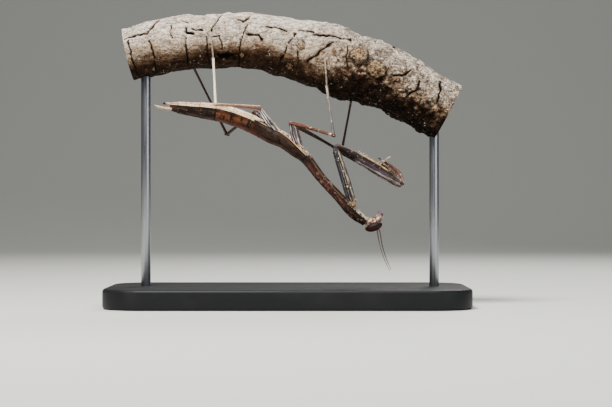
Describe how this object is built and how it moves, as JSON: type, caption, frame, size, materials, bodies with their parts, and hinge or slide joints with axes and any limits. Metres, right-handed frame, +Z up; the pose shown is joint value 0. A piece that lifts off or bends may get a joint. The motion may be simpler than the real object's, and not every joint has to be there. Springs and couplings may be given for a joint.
{
  "type": "praying mantis model",
  "caption": "Still model of a slender brown praying mantis nymph hanging upside down under a cut length of branch, held over a flat black base by thin steel rods.",
  "frame": {"origin": "centre of the stand's underside", "axes": "+X along the branch towards the mantis's head end, +Y from the mantis's left side to its right side, +Z up; the mantis hangs belly up"},
  "size_m": [0.09, 0.044, 0.0732],
  "materials": {
    "body": "insect cuticle, satin brown with cream belly stripe and dark flecks",
    "wing_pad": "satin charcoal-brown wing pad with lighter veins and a cream edge",
    "leg": "insect cuticle, satin, mottled brown, pink-beige and grey",
    "antenna": "thin dark brown feeler",
    "eye": "glossy dark brown compound eye",
    "bark": "dry cracked bark, pale grey-beige on top and dark brown below, bare wood at both cut ends",
    "stand_board": "painted matt black",
    "stand_steel": "brushed round rod"
  },
  "bodies": {
    "root": {"abdomen_segment_1": "body", "abdomen_segment_2": "body", "abdomen_segment_3": "body", "abdomen_segment_4": "body", "abdomen_segment_5": "body", "abdomen_segment_6": "body", "abdomen_segment_7": "body", "antenna_left": "antenna", "antenna_right": "antenna", "cercus_left": "body", "cercus_right": "body", "eye_left": "eye", "eye_right": "eye", "foreleg_left_coxa": "leg", "foreleg_left_femur": "leg", "foreleg_left_tarsus": "leg", "foreleg_left_tibia": "leg", "foreleg_right_coxa": "leg", "foreleg_right_femur": "leg", "foreleg_right_tarsus": "leg", "foreleg_right_tibia": "leg", "head": "body", "hindleg_left_coxa": "leg", "hindleg_left_femur": "leg", "hindleg_left_tarsus": "leg", "hindleg_left_tibia": "leg", "hindleg_right_coxa": "leg", "hindleg_right_femur": "leg", "hindleg_right_tarsus": "leg", "hindleg_right_tibia": "leg", "mesothorax": "body", "metathorax": "body", "midleg_left_coxa": "leg", "midleg_left_femur": "leg", "midleg_left_tarsus": "leg", "midleg_left_tibia": "leg", "midleg_right_coxa": "leg", "midleg_right_femur": "leg", "midleg_right_tarsus": "leg", "midleg_right_tibia": "leg", "mouth": "body", "neck": "body", "perch_branch": "bark", "pronotum": "body", "stand_base": "stand_board", "stand_rod_front": "stand_steel", "stand_rod_rear": "stand_steel", "tail_plate": "body", "wing_pad_fore_left": "wing_pad", "wing_pad_fore_right": "wing_pad", "wing_pad_hind_left": "wing_pad", "wing_pad_hind_right": "wing_pad"}
  },
  "joints": []
}
